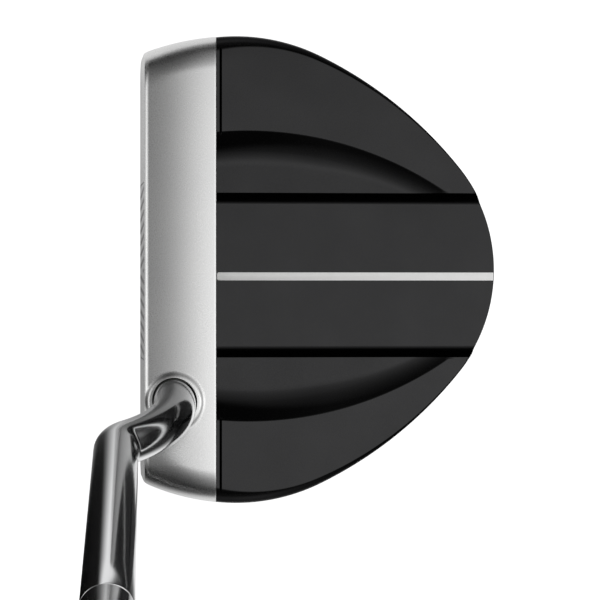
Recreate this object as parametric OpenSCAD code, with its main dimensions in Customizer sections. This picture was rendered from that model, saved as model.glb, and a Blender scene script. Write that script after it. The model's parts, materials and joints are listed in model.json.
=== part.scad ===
// Mallet putter: steel front block, aluminium rear body, crank-necked hosel, stepped shaft, rubber grip.
// -X is the target side, +Y the toe, +Z up. The origin is on the sole, below the sight line.

/* [Head] */
// Half of the head's width, heel to toe
head_half_w = 52.65; // [52:0.05:53.4]
// How far the outline's centre sits toeward of the sight line
toe_shift = 1.5; // [0:0.1:2.5]
// X of the leading edge
lead_x = -41; // [-41.5:0.1:-40.5]
// X of the rearmost point of the outline
rear_x = 39.8; // [39.2:0.1:40.4]
// Height of the front block's crown
crown_z = 27; // [26.5:0.1:28]
// Loft of the face in degrees
loft = 3.5; // [2:0.1:4.5]
// Radius of the roll-over along the heel and toe
roll_r = 7.6; // [7:0.1:8]
// X of the joint between front block and rear body
split_x = -23.7; // [-24.2:0.1:-23.4]

/* [Outline arcs] */
// X of the widest place
wide_x = -18.85; // [-19.3:0.05:-18.4]
// Radius of the outline at heel and toe
shoulder_r = 43; // [42.4:0.1:43.6]
// Radius of the long arc behind the shoulder
flank_r = 92; // [88:0.1:96]
// Radius of the outline at the rear
tail_r = 36.75; // [36.2:0.05:37.4]

/* [Crown of the rear body] */
// Height of the wings at the front block
wing_front_z = 25.9; // [25.6:0.1:26.2]
// Height of the wings at the rear
wing_rear_z = 21.4; // [21.2:0.1:21.8]
// Height of the scoop floors
scoop_z = 21; // [20.7:0.1:21.2]
// Height of the channel floor
channel_z = 18; // [17.4:0.1:18.4]
// How far the channel sits toeward of the sight line
channel_dy = 0.25; // [0:0.05:0.4]
// Half of the channel's width at its floor
channel_half_w = 16.7; // [16:0.1:17.2]
// Half of the channel's width at its top edges
channel_top_half_w = 18.5; // [18:0.1:19]
// Radius of each scoop's outer edge
scoop_r = 79.5; // [75:0.5:84]
// Width of the white sight line
sight_w = 1.84; // [1.5:0.02:2.2]

/* [Hosel and shaft] */
// Lie angle in degrees
lie = 70; // [68:0.5:72]
// X of the shaft's axis
shaft_x = -45.4; // [-46:0.1:-45]
// Y at which the shaft's axis meets the ground
shaft_y = -18.1; // [-20:0.1:-16]
// How far the socket's axis is behind the shaft's axis
neck_offset = 12.4; // [12:0.1:13]
// Radius of the neck's lower bend
bend_low_r = 24.8; // [20:0.1:28]
// Radius of the neck's upper bend
bend_high_r = 6.2; // [5.5:0.1:8]
// Outside diameter of the hosel at the socket and in the bends
tube_d = 9.4; // [9.2:0.1:9.6]
// Outside diameter of the hosel's top and the shaft's tip
tip_d = 10.1; // [9.6:0.1:10.3]
// Length from the ground to the end of the grip, along the shaft
club_len = 864; // [838:1:889]
// Height of the hosel's top, along the shaft
hosel_top = 123; // [118:1:126]

/* [Grip] */
// Length of the grip
grip_len = 267; // [250:1:280]
// Width of the grip at its butt
grip_top_w = 25; // [24:0.5:27]
// Width of the grip at its lower end
grip_low_w = 20.5; // [20:0.5:22]

/* [Hidden] */
lean = 90 - lie;
arc_steps = 12;
roll_steps = 5;
big = 200;
heel_end_r = 51.5;
toe_end_r = 62;

// Outline: three tangent arcs on each side of the outline's centre line.
shoulder_c = [wide_x, head_half_w - shoulder_r];
tail_c = [rear_x - tail_r, 0];
gap_st = norm(tail_c - shoulder_c);
side_s = flank_r - shoulder_r;
side_t = flank_r - tail_r;
along_st = (side_s * side_s - side_t * side_t + gap_st * gap_st) / (2 * gap_st);
across_st = sqrt(side_s * side_s - along_st * along_st);
unit_st = (tail_c - shoulder_c) / gap_st;
flank_c = shoulder_c + along_st * unit_st - across_st * [-unit_st[1], unit_st[0]];
shoulder_end = atan2(shoulder_c[1] - flank_c[1], shoulder_c[0] - flank_c[0]);
tail_start = atan2(tail_c[1] - flank_c[1], tail_c[0] - flank_c[0]);

// Neck: two bends in the plane of the shaft and the target line.
tube_r = tube_d / 2;
tip_r = tip_d / 2;
socket_x = neck_offset;
crown_w = 28.8;
bend_start_w = crown_w + 1.7;
bend_angle = acos(1 - neck_offset / (bend_low_r + bend_high_r));
bend_mid_w = bend_start_w + bend_low_r * sin(bend_angle);
bend_end_w = bend_mid_w + bend_high_r * sin(bend_angle);
socket_depth = 18;
socket_r = tube_r + 0.15;
tenon_r = tube_r - 0.1;
post_len = 32;
post_r = 4.05;
shaft_bore_r = 4.25;
hosel_bore_r = 2.6;

// Shaft steps.
shaft_end_w = club_len - 4;
step_start_w = 330;
step_pitch = 24;
step_count = 12;
step_gain = 0.19;
shaft_wall = 0.45;
butt_r = tip_r + step_count * step_gain;
grip_start_w = club_len - grip_len;

// Face insert.
insert_w = 40;
insert_h = 17;
insert_t = 1.9;
pad_t = 0.5;
insert_z = 13.5;
insert_y = 1.2;

// Underside.
pocket_top_z = 14.6;
side_hollow_z = 18.5;
block_hollow = [12, 15, 9.5];
block_hollow_dy = [-1.5, 23.5];
plate_t = 1.6;
gasket_t = 0.5;
ledge_z = plate_t + gasket_t;
plate_inset = 9;
pocket_inset = 11;
plate_x = -18.4;
pocket_x = -19.5;
boss_r = 4.2;
boss_spots = [[-12.5, 32], [-12.5, -32], [17, 19], [17, -19]];
weight_x = -32;
weight_dy = 38;
weight_head_r = 6.4;
weight_thread_r = 4.9;
body_screw_dy = [-36, -12, 12, 36];
body_screw_z = 10.5;
pin_dy = [-20, 20];
pin_z = 4.6;

// Points on an arc, without its first point.
function arc_points(centre, r, from, to, steps) =
    [for (i = [1 : steps]) let (turn = from + (to - from) * i / steps) centre + r * [cos(turn), sin(turn)]];

function shoulder_angle(x, inset) = acos((x - wide_x) / (shoulder_r - inset));

// Toe side of the outline from x at the front to the rear point, moved inward by inset.
function toe_side(x, inset) = concat(
    [shoulder_c + (shoulder_r - inset) * [cos(shoulder_angle(x, inset)), sin(shoulder_angle(x, inset))]],
    arc_points(shoulder_c, shoulder_r - inset, shoulder_angle(x, inset), shoulder_end, arc_steps),
    arc_points(flank_c, flank_r - inset, shoulder_end, tail_start, arc_steps),
    arc_points(tail_c, tail_r - inset, tail_start, 0, arc_steps));

// The points mirrored in the outline's centre line, in reverse order, without those on the line.
function mirrored(points) =
    [for (i = [len(points) - 1 : -1 : 0]) if (abs(points[i][1]) > 0.001) [points[i][0], -points[i][1]]];

module head_outline(x, inset) {
    translate([0, toe_shift])
        polygon(concat(toe_side(x, inset), mirrored(toe_side(x, inset))));
}

// One end of the front block in plan: a small corner at the face, then an arc of radius r.
function block_end(r) =
    let (from = acos((lead_x + 0.6 - wide_x) / r), to = acos((split_x - wide_x) / r),
        side = arc_points([wide_x, head_half_w - r], r, from, to, arc_steps))
    concat([[lead_x, side[0][1] - 1.6]], side);

module block_outline() {
    translate([0, toe_shift])
        polygon(concat(block_end(toe_end_r), mirrored(block_end(heel_end_r))));
}

// Half of the head seen from the front: bevelled sole, upright side and rolled-over upper edge.
half_front = concat(
    [[head_half_w - 8.8, 0], [head_half_w - 5.2, 1.5], [head_half_w - 2.3, 4.8], [head_half_w, 10.5]],
    [[head_half_w, crown_z - roll_r]],
    arc_points([head_half_w - roll_r, crown_z - roll_r], roll_r, 0, 90, roll_steps));

// The plan outline given as a child, trimmed to the head's shape from the front.
module rolled() {
    intersection() {
        linear_extrude(crown_z + 1)
            children();
        translate([-60, toe_shift, 0])
            rotate([90, 0, 90])
                linear_extrude(120)
                    polygon(concat(half_front, [for (i = [len(half_front) - 1 : -1 : 0])
                        [-half_front[i][0], half_front[i][1]]]));
    }
}

module in_shaft_frame() {
    translate([shaft_x, shaft_y, 0])
        rotate([lean, 0, 0])
            children();
}

// Frame on the face: local +X points into the head, local Z runs up the face.
module in_face_frame() {
    translate([lead_x, insert_y, 3])
        rotate([0, loft, 0])
            translate([0, 0, (insert_z - 3) / cos(loft)])
                children();
}

module along_x(x, y, z, r, len) {
    translate([x, y, z])
        rotate([0, 90, 0])
            cylinder(r = r, h = len, $fn = 48);
}

// Solid between two discs along +Z.
module rod(from, to, r) {
    translate([0, 0, from])
        cylinder(r = r, h = to - from, $fn = 64);
}

module socket_hole() {
    in_shaft_frame()
        translate([socket_x, 0, 0])
            rod(crown_w - socket_depth, crown_w + 10, socket_r);
}

module weight_hole(side) {
    translate([weight_x, toe_shift + side * weight_dy, 0]) {
        rod(-1, 5, weight_head_r + 0.2);
        rod(4.5, 8.1, weight_thread_r);
    }
}

module front_block() {
    color("silver")
        difference() {
            union() {
                intersection() {
                    rolled()
                        block_outline();
                    // Cambered crown, falling towards the face.
                    translate([split_x, -big / 2, crown_z - 80])
                        rotate([-90, 0, 0])
                            cylinder(r = 80, h = big, $fn = 180);
                }
                // Collar around the socket.
                translate([shaft_x + socket_x, shaft_y - (crown_z + 0.4) * tan(lean), crown_z - 3])
                    cylinder(r1 = 7, r2 = 6.2, h = 3.5, $fn = 64);
            }
            // Face plane.
            translate([lead_x, -big / 2, 3])
                rotate([0, loft, 0])
                    translate([-20, 0, -20])
                        cube([20, big, 60]);
            // Bevel from the leading edge to the sole.
            translate([lead_x, -big / 2, 3])
                rotate([0, -58, 0])
                    translate([-20, 0, -20])
                        cube([20, big, 60]);
            translate([split_x, -big / 2, -5])
                cube([20, big, 50]);
            in_face_frame()
                translate([-5, -insert_w / 2, -insert_h / 2])
                    cube([5 + insert_t + pad_t, insert_w, insert_h]);
            socket_hole();
            // Hollows in the rear face, covered by the rear body.
            for (dy = block_hollow_dy)
                translate([split_x - block_hollow[0], toe_shift + dy - block_hollow[1] / 2, 7.5])
                    cube(block_hollow + [1, 0, 0]);
            weight_hole(1);
            weight_hole(-1);
            for (dy = body_screw_dy)
                along_x(split_x - 9, toe_shift + dy, body_screw_z, 1.9, 10);
            for (dy = pin_dy)
                along_x(split_x - 4.2, toe_shift + dy, pin_z, 1.5, 5);
        }
}

module insert_plate(grow, depth, t) {
    in_face_frame()
        translate([depth, -insert_w / 2 - grow, -insert_h / 2 - grow])
            cube([t, insert_w + 2 * grow, insert_h + 2 * grow]);
}

module face_insert() {
    color("gainsboro")
        insert_plate(-0.1, 0, insert_t);
}

module insert_pad() {
    color("dimgray")
        insert_plate(-0.1, insert_t, pad_t);
}

// Volume above one scoop floor, on the toe side when side is 1.
module scoop_cut(side) {
    fillet_r = 4;
    depth = 8;
    arc_c = [scoop_r - fillet_r * sin(68), scoop_z + fillet_r];
    profile = concat([[20, scoop_z + depth], [20, scoop_z]],
        arc_points(arc_c, fillet_r, -90, -22, 8),
        [[scoop_r + 2.2, scoop_z + depth]]);
    intersection() {
        translate([-16, side * (32.4 - scoop_r), 0])
            rotate([0, 0, side > 0 ? 45 : -135])
                rotate_extrude(angle = 90, $fn = 240)
                    polygon(profile);
        translate([split_x - 1, side > 0 ? channel_top_half_w - 2 : -40, scoop_z - 1])
            cube([70, 42 - channel_top_half_w, 12]);
    }
}

module channel_cut() {
    translate([split_x - 1, channel_dy, 0])
        rotate([90, 0, 90])
            linear_extrude(90)
                polygon([
                    [-channel_half_w, channel_z], [channel_half_w, channel_z],
                    [channel_half_w + 0.9, channel_z + 0.6], [channel_top_half_w, scoop_z],
                    [channel_top_half_w + 0.5, 40], [-channel_top_half_w - 0.5, 40],
                    [-channel_top_half_w, scoop_z], [-channel_half_w - 0.9, channel_z + 0.6]]);
}

// Everything above the sloping wings and below the rising sole.
module wing_slope_cut() {
    slope = atan((wing_front_z - wing_rear_z) / (rear_x - split_x));
    translate([split_x, -big / 2, wing_front_z])
        rotate([0, slope, 0])
            translate([-10, 0, 0])
                cube([100, big, 20]);
}

module sole_rise_cut() {
    translate([32, -big / 2, 0])
        rotate([0, -28, 0])
            translate([0, 0, -20])
                cube([80, big, 20]);
}

module rear_body() {
    color([0.13, 0.13, 0.14])
        difference() {
            rolled()
                head_outline(split_x, 0);
            wing_slope_cut();
            sole_rise_cut();
            channel_cut();
            scoop_cut(1);
            scoop_cut(-1);
            // Fine groove across each wing, behind the front lip.
            for (side = [-1, 1])
                translate([split_x + 0.75, side > 0 ? 32.5 : -60, wing_front_z - 0.6])
                    cube([0.35, 27.5, 2]);
            // Sight line groove.
            translate([split_x + 0.3, -sight_w / 2, channel_z - 0.4])
                cube([80, sight_w, 2]);
            // Recess for the sole plate and the hollow above it.
            translate([0, 0, -1])
                linear_extrude(1 + ledge_z)
                    head_outline(plate_x, plate_inset);
            difference() {
                translate([0, 0, ledge_z - 0.5])
                    linear_extrude(pocket_top_z - ledge_z + 0.5)
                        head_outline(pocket_x + 1.2, pocket_inset);
                for (spot = boss_spots)
                    translate([spot[0], spot[1] + toe_shift, ledge_z])
                        cylinder(r = boss_r, h = 20, $fn = 48);
            }
            // Deeper hollows under the wings.
            for (side = [-1, 1])
                translate([-17, toe_shift + side * 29 - 7, 10])
                    cube([22, 14, side_hollow_z - 10]);
            for (spot = boss_spots)
                translate([spot[0], spot[1] + toe_shift, 0])
                    cylinder(r = 1.25, h = 9, $fn = 32);
            for (dy = body_screw_dy)
                along_x(split_x - 1, toe_shift + dy, body_screw_z, 2.1, 12);
            for (dy = pin_dy)
                along_x(split_x - 1, toe_shift + dy, pin_z, 1.5, 4.2);
        }
}

module sight_line() {
    color("white")
        intersection() {
            translate([split_x + 0.3, -sight_w / 2, channel_z - 0.4])
                cube([80, sight_w, 0.35]);
            linear_extrude(crown_z)
                head_outline(split_x, 0);
        }
}

module body_screws() {
    color("darkgray")
        for (dy = body_screw_dy)
            difference() {
                union() {
                    along_x(split_x - 8.6, toe_shift + dy, body_screw_z, 1.9, 14.2);
                    along_x(pocket_x + 1.2, toe_shift + dy, body_screw_z, 3.4, 3.6);
                }
                translate([pocket_x + 3.4, toe_shift + dy, body_screw_z])
                    rotate([0, 90, 0])
                        cylinder(r = 1.7, h = 3, $fn = 6);
            }
}

module dowel_pins() {
    color("lightgray")
        for (dy = pin_dy)
            along_x(split_x - 4, toe_shift + dy, pin_z, 1.5, 7);
}

module sole_plate() {
    color([0.2, 0.2, 0.21])
        difference() {
            intersection() {
                linear_extrude(plate_t)
                    head_outline(plate_x + 0.15, plate_inset + 0.15);
                difference() {
                    translate([-50, -60, -1])
                        cube([100, 120, 10]);
                    sole_rise_cut();
                }
            }
            for (spot = boss_spots)
                translate([spot[0], spot[1] + toe_shift, 0])
                    plate_screw_hole();
        }
}

module plate_screw_hole() {
    rod(-1, 9, 1.4);
    cylinder(r1 = 2.7, r2 = 1.4, h = 1.3, $fn = 48);
}

module plate_gasket() {
    color("black")
        difference() {
            translate([0, 0, plate_t])
                linear_extrude(gasket_t)
                    difference() {
                        head_outline(plate_x + 0.15, plate_inset + 0.15);
                        head_outline(pocket_x + 1.2, pocket_inset);
                    }
            sole_rise_cut();
        }
}

module plate_screws() {
    color("dimgray")
        for (spot = boss_spots)
            translate([spot[0], spot[1] + toe_shift, 0])
                difference() {
                    union() {
                        rod(0.05, 8.5, 1.25);
                        translate([0, 0, 0.05])
                            cylinder(r1 = 2.6, r2 = 1.25, h = 1.2, $fn = 48);
                    }
                    translate([0, 0, -1])
                        cylinder(r = 0.9, h = 1.8, $fn = 6);
                }
}

module weight(side) {
    color("slategray")
        translate([weight_x, toe_shift + side * weight_dy, 0])
            difference() {
                union() {
                    rod(1.5, 4.4, weight_head_r);
                    rod(4.3, 8, weight_thread_r);
                }
                cylinder(r = 2.3, h = 3.2, $fn = 6);
            }
}

module heel_weight() {
    weight(-1);
}

module toe_weight() {
    weight(1);
}

module weight_washers() {
    color("black")
        for (side = [-1, 1])
            translate([weight_x, toe_shift + side * weight_dy, 0])
                difference() {
                    rod(4.4, 5, weight_head_r);
                    rod(4, 6, weight_thread_r);
                }
}

// Rings along the hosel: [x, w, lean of the ring, radius].
hosel_rings = concat(
    [[socket_x, crown_w - socket_depth + 0.3, 0, tenon_r], [socket_x, crown_w - 1.4, 0, tenon_r],
        [socket_x, crown_w - 1.4, 0, tube_r]],
    [for (i = [0 : 14]) let (a = bend_angle * i / 14)
        [socket_x - bend_low_r * (1 - cos(a)), bend_start_w + bend_low_r * sin(a), a, tube_r]],
    [for (i = [9 : -1 : 0]) let (a = bend_angle * i / 10)
        [bend_high_r * (1 - cos(a)), bend_end_w - bend_high_r * sin(a), a, tube_r]],
    [[0, hosel_top, 0, tip_r], [0, hosel_top, 0, post_r], [0, hosel_top + post_len, 0, post_r]]);
ring_sides = 36;

function ring_point(ring, side) =
    let (turn = 360 * side / ring_sides, out = ring[3] * cos(turn))
    [ring[0] + out * cos(ring[2]), ring[3] * sin(turn), ring[1] + out * sin(ring[2])];

// Closed solid through a list of rings.
module swept(rings) {
    last = len(rings) - 1;
    polyhedron(
        points = [for (ring = rings, side = [0 : ring_sides - 1]) ring_point(ring, side)],
        faces = concat(
            [[for (side = [0 : ring_sides - 1]) side]],
            [for (i = [0 : last - 1], side = [0 : ring_sides - 1])
                let (next = (side + 1) % ring_sides, low = i * ring_sides, high = low + ring_sides)
                [low + side, high + side, high + next, low + next]],
            [[for (side = [ring_sides - 1 : -1 : 0]) last * ring_sides + side]]));
}

module hosel() {
    color("lightsteelblue")
        in_shaft_frame()
            difference() {
                swept(hosel_rings);
                rod(bend_end_w + 8, hosel_top + post_len + 1, hosel_bore_r);
            }
}

module hosel_bond() {
    color("black")
        in_shaft_frame()
            translate([socket_x, 0, 0])
                difference() {
                    rod(crown_w - socket_depth, crown_w - 1.6, socket_r);
                    rod(crown_w - socket_depth + 0.3, crown_w + 1, tenon_r);
                }
}

module shaft() {
    color("lightsteelblue")
        in_shaft_frame()
            difference() {
                union() {
                    rod(hosel_top + 0.1, step_start_w + 1, tip_r);
                    for (i = [1 : step_count])
                        rod(step_start_w + (i - 1) * step_pitch,
                            i == step_count ? shaft_end_w : step_start_w + i * step_pitch + 1,
                            tip_r + i * step_gain);
                }
                rod(hosel_top - 1, step_start_w + 3, shaft_bore_r);
                for (i = [1 : step_count])
                    rod(step_start_w + (i - 1) * step_pitch + 2,
                        i == step_count ? shaft_end_w + 1 : step_start_w + i * step_pitch + 3,
                        tip_r + i * step_gain - shaft_wall);
            }
}

module shaft_bond() {
    color("beige")
        in_shaft_frame()
            difference() {
                rod(hosel_top + 0.1, hosel_top + post_len, shaft_bore_r);
                rod(hosel_top, hosel_top + post_len + 1, post_r);
            }
}

module grip_tape() {
    color("tan")
        in_shaft_frame()
            difference() {
                rod(grip_start_w + 6, shaft_end_w - 1, butt_r + 0.25);
                rod(grip_start_w, shaft_end_w + 1, butt_r);
            }
}

// Grip section at w up the shaft: a flat front, and a round back that stands out by back.
module grip_slice(w, width, back) {
    translate([0, 0, w])
        linear_extrude(0.5)
            polygon([for (i = [0 : 36])
                let (turn = 120 + i * 300 / 36, reach = width / 2 + (sin(turn) < 0 ? back : 0))
                [width / 2 * cos(turn), reach * sin(turn)]]);
}

module grip() {
    low = grip_start_w;
    top = club_len - 2.5;
    color([0.1, 0.1, 0.11])
        in_shaft_frame()
            difference() {
                union() {
                    hull() {
                        grip_slice(low, grip_low_w, 0);
                        grip_slice(low + 150, grip_top_w - 2.5, 1);
                    }
                    hull() {
                        grip_slice(low + 150, grip_top_w - 2.5, 1);
                        grip_slice(low + 215, grip_top_w, 5);
                        grip_slice(top - 0.5, grip_top_w, 2);
                    }
                }
                rod(low - 1, shaft_end_w - 1, butt_r + 0.25);
                rod(shaft_end_w - 2, shaft_end_w + 10, butt_r);
            }
}

module grip_cap() {
    color([0.1, 0.1, 0.11])
        in_shaft_frame()
            difference() {
                union() {
                    rod(club_len - 2.5, club_len, grip_top_w * 0.46);
                    rod(shaft_end_w, club_len - 1, butt_r - 0.02);
                }
                rod(shaft_end_w - 1, club_len + 1, 1.6);
            }
}

front_block();
face_insert();
insert_pad();
rear_body();
sight_line();
body_screws();
dowel_pins();
sole_plate();
plate_gasket();
plate_screws();
heel_weight();
toe_weight();
weight_washers();
hosel();
hosel_bond();
shaft();
shaft_bond();
grip_tape();
grip();
grip_cap();
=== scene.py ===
import json
import math

import bmesh
import bpy
import numpy as np
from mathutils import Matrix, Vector


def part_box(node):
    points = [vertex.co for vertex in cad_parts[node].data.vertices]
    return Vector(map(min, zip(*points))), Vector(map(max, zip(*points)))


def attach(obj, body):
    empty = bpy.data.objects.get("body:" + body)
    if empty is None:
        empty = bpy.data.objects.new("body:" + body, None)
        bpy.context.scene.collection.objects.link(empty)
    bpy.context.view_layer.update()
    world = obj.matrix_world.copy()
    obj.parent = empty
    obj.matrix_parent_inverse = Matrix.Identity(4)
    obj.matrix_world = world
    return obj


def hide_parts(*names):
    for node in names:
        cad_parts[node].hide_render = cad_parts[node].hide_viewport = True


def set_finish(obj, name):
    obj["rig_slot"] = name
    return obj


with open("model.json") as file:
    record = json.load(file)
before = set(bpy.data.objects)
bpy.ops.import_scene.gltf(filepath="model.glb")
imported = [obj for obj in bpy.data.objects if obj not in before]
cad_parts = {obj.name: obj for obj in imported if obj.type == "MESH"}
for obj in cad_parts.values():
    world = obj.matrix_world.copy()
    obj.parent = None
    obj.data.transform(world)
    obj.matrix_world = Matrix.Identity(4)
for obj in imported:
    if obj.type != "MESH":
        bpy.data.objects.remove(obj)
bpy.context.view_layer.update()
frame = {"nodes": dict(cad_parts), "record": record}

MM = 0.001


# ---------------------------------------------------------------- dimensions, in millimetres

def cad_box_mm(node):
    """Lower and upper corner of a CAD node."""
    return [np.array(corner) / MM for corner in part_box(node)]


rear_low, rear_high = cad_box_mm("rear_body")
insert_low, insert_high = cad_box_mm("face_insert")
plate_low, plate_high = cad_box_mm("sole_plate")
weight_low, weight_high = cad_box_mm("toe_weight")

LEAD_X = cad_box_mm("front_block")[0][0]
REAR_X = rear_high[0]
SPLIT_X = rear_low[0]
TOE_SHIFT = (rear_low[1] + rear_high[1]) / 2
HALF_W = (rear_high[1] - rear_low[1]) / 2
CROWN_Z = 27.0
ROLL_R = 7.6  # roll-over of block and body, all round the head

# The head's outline: arcs of the rear body, then the block's two rounded ends.
WIDE_X = -18.85
SHOULDER_R = 43.0
FLANK_R = 92.0
TAIL_R = 36.75
HEEL_END_R = 51.5
TOE_END_R = 62.0

# The lower edge all round: distance inward from the outline, and height.
SKIRT_INSET = [0, 0.25, 1.0, 2.4, 4.4, 6.6, 8.6]
SKIRT_Z = [9.5, 7.8, 5.6, 3.4, 1.5, 0.4, 0]

# Front block. The nose is the rounded edge between face and crown, the back the edge along the joint with
# the body, and the collar the raised ring around the socket.
LOFT = math.radians(3.5)
FACE_FOOT_Z = 3.0
LEAD_BEVEL = 0.62
NOSE_Z = 24.6
NOSE_W = 1.05
NOSE_DROP = 0.36
CAMBER_R = 80.0
BACK_R = 0.35
COLLAR_R = 6.7
COLLAR_W = 1.15
COLLAR_LIFT = 0.5
SOCKET_R = 5.0
SOCKET_DEPTH = 18.0
WEIGHT_HOLE_R = 6.6
WEIGHT_HOLE_TOP = 8.2
POCKET_DEPTH = 2.4

# Crown and sole of the rear body. Channel widths are measured from the channel's own middle.
WING_FRONT_Z = 25.9
WING_REAR_Z = 21.4
GROOVE_X = SPLIT_X + 0.92
GROOVE_DEPTH = 0.5
GROOVE_SLOPE = 1.8
SCOOP_Z = 21.0
SCOOP_R = 79.5
SCOOP_X = -16.0
SCOOP_FRONT_Y = 32.4
SCOOP_REACH = 6.6
CHANNEL_Z = 18.0
CHANNEL_FLOOR = 16.7
CHANNEL_TOP = 18.5
CHANNEL_Y = 0.25
LINE_HALF = 0.92
LINE_DEPTH = 0.4
LINE_START = SPLIT_X + 0.3
SOLE_RISE_X = 32.0
SOLE_RISE = 0.53
PLATE_RECESS = 2.1
PLATE_INSET = 9.0

# Slopes and a height that lift scoop, channel and rim clear of the crown beyond their own edges.
SCOOP_OUTSIDE = 30.0
CHANNEL_OUTSIDE = 9.0
FAR_ABOVE = 99.0

# Milling of the face insert: a groove's shift outward per millimetre of height, and its share of the pitch.
MILLED_PITCH = 2.65
MILLED_LEAN = 0.105
MILLED_SHARE = 0.45
MILLED_DEPTH = 0.14
INSERT_DEPTH = 1.9

# Hosel and shaft. CROWN_W, HOSEL_TOP, POST_TOP, STEP_START_W and BUTT_W are distances up the shaft's axis.
LIE = math.radians(70)
LEAN = math.pi / 2 - LIE
SHAFT_X = -45.4
SHAFT_Y = -18.1
NECK_OFFSET = 12.4
BEND_LOW_R = 24.8
BEND_HIGH_R = 6.2
TENON_R = 4.6
TENON_LEN = 17.7
TUBE_R = 4.7
TIP_R = 5.05
POST_R = 4.05
CROWN_W = 28.8
HOSEL_TOP = 123.0
POST_TOP = 155.0
SHAFT_BORE_R = 4.3
SHAFT_WALL = 0.45
STEP_START_W = 330.0
STEP_PITCH = 24.0
STEP_COUNT = 12
STEP_LEN = 1.1
STEP_GAIN = 0.19
CLUB_LEN = 864.0
BUTT_W = CLUB_LEN - 4

# Grip and cap.
GRIP_LEN = 267.0
GRIP_TOP_W = 25.0
GRIP_LOW_W = 20.5
GRIP_BORE_R = 7.62
GRIP_SIDES = 96
CAP_H = 2.5
PLUG_R = 7.3
VENT_R = 1.6

INTO_FACE = np.array([math.cos(LOFT), 0, -math.sin(LOFT)])
UP_FACE = np.array([math.sin(LOFT), 0, math.cos(LOFT)])
UP_SHAFT = np.array([0, -math.sin(LEAN), math.cos(LEAN)])
ACROSS_SHAFT = np.array([0, math.cos(LEAN), math.sin(LEAN)])
SHAFT_FOOT = np.array([SHAFT_X, SHAFT_Y, 0])
SOCKET_AT = SHAFT_FOOT + CROWN_W * UP_SHAFT + np.array([NECK_OFFSET, 0, 0])


# ---------------------------------------------------------------- small helpers

def soft_min(a, b, k):
    """The smaller of two heights, rounded over a width of about k where they cross."""
    h = np.clip(0.5 + 0.5 * (b - a) / k, 0, 1)
    return b * (1 - h) + a * h - k * h * (1 - h)


def soft_max(a, b, k):
    """The larger of two heights, rounded in the same way."""
    return -soft_min(-a, -b, k)


def arc_drop(distance, radius):
    """How far a quarter-round edge has fallen at a distance inward from the edge."""
    t = np.clip(radius - distance, 0, radius)
    return radius - np.sqrt(radius * radius - t * t)


def mesh_from(verts, faces):
    """A bmesh from points in millimetres."""
    bm = bmesh.new()
    made = [bm.verts.new(Vector(v) * MM) for v in verts]
    for face in faces:
        bm.faces.new([made[i] for i in face])
    return bm


def new_piece(name, verts, faces, slot, replaced, sharp):
    """A piece that stands in for a CAD node; edges sharper than the angle stay crisp."""
    bm = mesh_from(verts, faces)
    bmesh.ops.remove_doubles(bm, verts=bm.verts[:], dist=1e-7)
    bmesh.ops.dissolve_degenerate(bm, dist=1e-7, edges=bm.edges[:])
    bmesh.ops.recalc_face_normals(bm, faces=bm.faces[:])
    piece = finish_mesh(name, bm, sharp)
    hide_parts(replaced)
    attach(piece, "root")
    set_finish(piece, slot)
    return piece


def finish_mesh(name, bm, sharp):
    """An object in the scene from a bmesh."""
    mark_edges(bm, sharp)
    mesh = bpy.data.meshes.new(name)
    bm.to_mesh(mesh)
    bm.free()
    piece = bpy.data.objects.new(name, mesh)
    bpy.context.scene.collection.objects.link(piece)
    return piece


def mark_edges(bm, sharp):
    """Smooth shading, with crisp edges where faces meet at more than the angle in degrees."""
    for face in bm.faces:
        face.smooth = True
    for edge in bm.edges:
        edge.smooth = edge.is_manifold and edge.calc_face_angle(0) < math.radians(sharp)


def rings_to_mesh(rings, loop=False):
    """Quads between rings of equal length, closed by joining last to first or by a face at each end."""
    count = len(rings[0])
    verts = [p for ring in rings for p in ring]
    faces = []
    for i in range(len(rings) if loop else len(rings) - 1):
        low, high = i * count, ((i + 1) % len(rings)) * count
        for j in range(count):
            k = (j + 1) % count
            faces.append((low + j, low + k, high + k, high + j))
    if not loop:
        faces.append(tuple(range(count - 1, -1, -1)))
        faces.append(tuple(range(len(verts) - count, len(verts))))
    return verts, faces


def shaft_point(x, y, w):
    """A point given across and along the shaft's axis."""
    return SHAFT_FOOT + np.array([x, 0, 0]) + y * ACROSS_SHAFT + w * UP_SHAFT


def full_turn(sides):
    return [2 * math.pi * i / sides for i in range(sides)]


def shaft_circle(radius, w, sides):
    return [shaft_point(radius * math.cos(t), radius * math.sin(t), w) for t in full_turn(sides)]


def turned(profile, sides):
    """A hollow turned piece from a closed profile of (radius, distance up the shaft)."""
    return rings_to_mesh([shaft_circle(r, w, sides) for r, w in profile], loop=True)


def cut(piece, cutter, sharp):
    """Cuts the cutter's volume out of the piece and removes the cutter."""
    modifier = piece.modifiers.new("cut", "BOOLEAN")
    modifier.operation = "DIFFERENCE"
    modifier.solver = "EXACT"
    modifier.object = cutter
    graph = bpy.context.evaluated_depsgraph_get()
    bm = bmesh.new()
    bm.from_mesh(piece.evaluated_get(graph).to_mesh())
    piece.modifiers.remove(modifier)
    mark_edges(bm, sharp)
    bm.to_mesh(piece.data)
    bm.free()
    bpy.data.objects.remove(cutter)


# ---------------------------------------------------------------- the head's outline

def tangent_arcs():
    """Centres of the shoulder, flank and tail arcs, and the turns of the flank's arc at which they meet."""
    shoulder = np.array([WIDE_X, HALF_W - SHOULDER_R])
    tail = np.array([REAR_X - TAIL_R, 0.0])
    gap = np.linalg.norm(tail - shoulder)
    side_s, side_t = FLANK_R - SHOULDER_R, FLANK_R - TAIL_R
    along = (side_s**2 - side_t**2 + gap**2) / (2 * gap)
    across = math.sqrt(side_s**2 - along**2)
    unit = (tail - shoulder) / gap
    flank = shoulder + along * unit - across * np.array([-unit[1], unit[0]])
    first = math.atan2(*(shoulder - flank)[::-1])
    second = math.atan2(*(tail - flank)[::-1])
    return shoulder, flank, tail, first, second


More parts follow.
